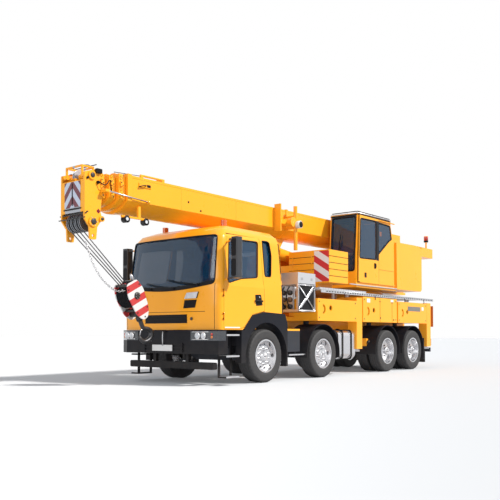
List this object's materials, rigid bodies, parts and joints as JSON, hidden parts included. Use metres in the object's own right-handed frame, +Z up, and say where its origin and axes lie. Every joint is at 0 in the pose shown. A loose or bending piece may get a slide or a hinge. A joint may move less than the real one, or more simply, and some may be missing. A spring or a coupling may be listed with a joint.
{
  "type": "mobile crane",
  "caption": "Truck-mounted telescopic mobile crane with a driver's cab, a slewing crane cab, outriggers, ballast stack and a slung hook block.",
  "frame": {"origin": "middle of the machine's length and width, on the ground", "axes": "+X forwards along the machine, +Y to its left, +Z up"},
  "size_m": [10.7218, 3.0244, 3.6895],
  "materials": {
    "chassis_grey": "satin",
    "cast_iron": "matte",
    "yellow_paint": "gloss",
    "cab_glass": "gloss",
    "interior_plastic": "matte",
    "black_plastic": "matte",
    "dark_plastic": "matte",
    "aluminium": "brushed",
    "polished_alloy": "polished",
    "lamp_plastic": "gloss",
    "tyre": "matte",
    "steel": "satin",
    "chrome": "mirror",
    "black_paint": "satin"
  },
  "bodies": {
    "chassis": {"chassis_frame": "chassis_grey", "engine": "cast_iron", "cab_shell": "yellow_paint", "cab_glass": "cab_glass", "cab_interior": "interior_plastic", "bumper": "black_plastic", "entry_steps": "aluminium", "lamps": "lamp_plastic", "mudguards": "dark_plastic", "fuel_tanks": "aluminium", "side_boxes": "yellow_paint", "deck": "aluminium", "stowage_bay": "aluminium", "ballast": "yellow_paint"},
    "wheel_1_left": {"wheel_1_left_tyre": "tyre", "wheel_1_left_rim": "polished_alloy"},
    "knuckle_1_left": {"knuckle_1_left": "steel"},
    "wheel_1_right": {"wheel_1_right_tyre": "tyre", "wheel_1_right_rim": "polished_alloy"},
    "knuckle_1_right": {"knuckle_1_right": "steel"},
    "wheel_2_left": {"wheel_2_left_tyre": "tyre", "wheel_2_left_rim": "polished_alloy"},
    "knuckle_2_left": {"knuckle_2_left": "steel"},
    "wheel_2_right": {"wheel_2_right_tyre": "tyre", "wheel_2_right_rim": "polished_alloy"},
    "knuckle_2_right": {"knuckle_2_right": "steel"},
    "wheel_3_left": {"wheel_3_left_tyre": "tyre", "wheel_3_left_rim": "polished_alloy"},
    "wheel_3_right": {"wheel_3_right_tyre": "tyre", "wheel_3_right_rim": "polished_alloy"},
    "wheel_4_left": {"wheel_4_left_tyre": "tyre", "wheel_4_left_rim": "polished_alloy"},
    "wheel_4_right": {"wheel_4_right_tyre": "tyre", "wheel_4_right_rim": "polished_alloy"},
    "cab_door_left": {"cab_door_left": "yellow_paint", "cab_door_left_glass": "cab_glass"},
    "cab_door_right": {"cab_door_right": "yellow_paint", "cab_door_right_glass": "cab_glass"},
    "outrigger_front_left": {"outrigger_front_left": "yellow_paint"},
    "jack_front_left": {"jack_front_left": "steel"},
    "outrigger_front_right": {"outrigger_front_right": "yellow_paint"},
    "jack_front_right": {"jack_front_right": "steel"},
    "outrigger_rear_left": {"outrigger_rear_left": "yellow_paint"},
    "jack_rear_left": {"jack_rear_left": "steel"},
    "outrigger_rear_right": {"outrigger_rear_right": "yellow_paint"},
    "jack_rear_right": {"jack_rear_right": "steel"},
    "superstructure": {"superstructure": "yellow_paint", "crane_cab": "yellow_paint", "crane_cab_glass": "cab_glass", "crane_cab_interior": "interior_plastic"},
    "crane_door": {"crane_door": "yellow_paint", "crane_door_glass": "cab_glass"},
    "boom_base": {"boom_base": "yellow_paint"},
    "boom_section_1": {"boom_section_1": "yellow_paint"},
    "boom_section_2": {"boom_section_2": "yellow_paint"},
    "boom_section_3": {"boom_section_3": "yellow_paint"},
    "luffing_barrel": {"luffing_barrel": "yellow_paint"},
    "luffing_rod": {"luffing_rod": "chrome"},
    "hook_block": {"hook_block": "black_paint"}
  },
  "joints": [
    {"name": "steer_1_left", "type": "hinge", "parent": "chassis", "child": "knuckle_1_left", "pos_m": [1.93, 0.905, 0.5], "axis": [0, 0, 1], "range_deg": [-30, 30]},
    {"name": "roll_1_left", "type": "hinge", "parent": "knuckle_1_left", "child": "wheel_1_left", "pos_m": [1.93, 1.085, 0.5], "axis": [0, 1, 0], "continuous": true},
    {"name": "steer_1_right", "type": "hinge", "parent": "chassis", "child": "knuckle_1_right", "pos_m": [1.93, -0.905, 0.5], "axis": [0, 0, 1], "range_deg": [-30, 30]},
    {"name": "roll_1_right", "type": "hinge", "parent": "knuckle_1_right", "child": "wheel_1_right", "pos_m": [1.93, -1.085, 0.5], "axis": [0, 1, 0], "continuous": true},
    {"name": "steer_2_left", "type": "hinge", "parent": "chassis", "child": "knuckle_2_left", "pos_m": [-0.01, 0.905, 0.5], "axis": [0, 0, 1], "range_deg": [-19.2, 19.2]},
    {"name": "roll_2_left", "type": "hinge", "parent": "knuckle_2_left", "child": "wheel_2_left", "pos_m": [-0.01, 1.085, 0.5], "axis": [0, 1, 0], "continuous": true},
    {"name": "steer_2_right", "type": "hinge", "parent": "chassis", "child": "knuckle_2_right", "pos_m": [-0.01, -0.905, 0.5], "axis": [0, 0, 1], "range_deg": [-19.2, 19.2]},
    {"name": "roll_2_right", "type": "hinge", "parent": "knuckle_2_right", "child": "wheel_2_right", "pos_m": [-0.01, -1.085, 0.5], "axis": [0, 1, 0], "continuous": true},
    {"name": "roll_3_left", "type": "hinge", "parent": "chassis", "child": "wheel_3_left", "pos_m": [-2.82, 1.085, 0.5], "axis": [0, 1, 0], "continuous": true},
    {"name": "roll_3_right", "type": "hinge", "parent": "chassis", "child": "wheel_3_right", "pos_m": [-2.82, -1.085, 0.5], "axis": [0, 1, 0], "continuous": true},
    {"name": "roll_4_left", "type": "hinge", "parent": "chassis", "child": "wheel_4_left", "pos_m": [-4.175, 1.085, 0.5], "axis": [0, 1, 0], "continuous": true},
    {"name": "roll_4_right", "type": "hinge", "parent": "chassis", "child": "wheel_4_right", "pos_m": [-4.175, -1.085, 0.5], "axis": [0, 1, 0], "continuous": true},
    {"name": "open_cab_door_left", "type": "hinge", "parent": "chassis", "child": "cab_door_left", "pos_m": [3.133, 1.264, 1.6], "axis": [0, 0, -1], "range_deg": [0, 72]},
    {"name": "open_cab_door_right", "type": "hinge", "parent": "chassis", "child": "cab_door_right", "pos_m": [3.133, -1.264, 1.6], "axis": [0, 0, 1], "range_deg": [0, 72]},
    {"name": "extend_outrigger_front_left", "type": "slide", "parent": "chassis", "child": "outrigger_front_left", "axis": [0, 1, 0], "range_m": [0, 1.5]},
    {"name": "lower_jack_front_left", "type": "slide", "parent": "outrigger_front_left", "child": "jack_front_left", "axis": [0, 0, -1], "range_m": [0, 0.62]},
    {"name": "extend_outrigger_front_right", "type": "slide", "parent": "chassis", "child": "outrigger_front_right", "axis": [0, -1, 0], "range_m": [0, 1.5]},
    {"name": "lower_jack_front_right", "type": "slide", "parent": "outrigger_front_right", "child": "jack_front_right", "axis": [0, 0, -1], "range_m": [0, 0.62]},
    {"name": "extend_outrigger_rear_left", "type": "slide", "parent": "chassis", "child": "outrigger_rear_left", "axis": [0, 1, 0], "range_m": [0, 1.5]},
    {"name": "lower_jack_rear_left", "type": "slide", "parent": "outrigger_rear_left", "child": "jack_rear_left", "axis": [0, 0, -1], "range_m": [0, 0.62]},
    {"name": "extend_outrigger_rear_right", "type": "slide", "parent": "chassis", "child": "outrigger_rear_right", "axis": [0, -1, 0], "range_m": [0, 1.5]},
    {"name": "lower_jack_rear_right", "type": "slide", "parent": "outrigger_rear_right", "child": "jack_rear_right", "axis": [0, 0, -1], "range_m": [0, 0.62]},
    {"name": "slew", "type": "hinge", "parent": "chassis", "child": "superstructure", "pos_m": [-3.5, 0, 1.96], "axis": [0, 0, 1], "continuous": true},
    {"name": "slide_crane_door", "type": "slide", "parent": "superstructure", "child": "crane_door", "axis": [-1, 0, 0], "range_m": [0, 0.76]},
    {"name": "luff_boom", "type": "hinge", "parent": "superstructure", "child": "boom_base", "pos_m": [-4.87, 0, 3.25], "axis": [0, -1, 0], "range_deg": [0, 82]},
    {"name": "extend_boom_section_1", "type": "slide", "parent": "boom_base", "child": "boom_section_1", "axis": [1, 0, -0.0075], "range_m": [0, 8.2]},
    {"name": "extend_boom_section_2", "type": "slide", "parent": "boom_section_1", "child": "boom_section_2", "axis": [1, 0, -0.0075], "range_m": [0, 8.2]},
    {"name": "extend_boom_section_3", "type": "slide", "parent": "boom_section_2", "child": "boom_section_3", "axis": [1, 0, -0.0075], "range_m": [0, 8.2]},
    {"name": "swing_luffing_barrel", "type": "hinge", "parent": "superstructure", "child": "luffing_barrel", "pos_m": [-2.92, 0, 2.35], "axis": [0, -1, 0], "range_deg": [0, 90.3]},
    {"name": "extend_luffing_rod", "type": "slide", "parent": "luffing_barrel", "child": "luffing_rod", "axis": [0.9928, 0, 0.1197], "range_m": [0, 2.751]},
    {"name": "swing_hook_block", "type": "hinge", "parent": "boom_section_3", "child": "hook_block", "pos_m": [5.20111, 0, 2.6944], "axis": [0, 1, 0], "range_deg": [0, 36.1]}
  ],
  "couplings": [
    {"joint": "steer_1_right", "follows": "steer_1_left", "ratio": 1},
    {"joint": "steer_2_left", "follows": "steer_1_left", "ratio": 0.64},
    {"joint": "steer_2_right", "follows": "steer_1_left", "ratio": 0.64},
    {"joint": "swing_luffing_barrel", "follows": "luff_boom", "ratio": 1.0992},
    {"joint": "extend_luffing_rod", "follows": "luff_boom", "m_per_rad": 1.9212},
    {"joint": "swing_hook_block", "follows": "luff_boom", "ratio": 0.44}
  ]
}
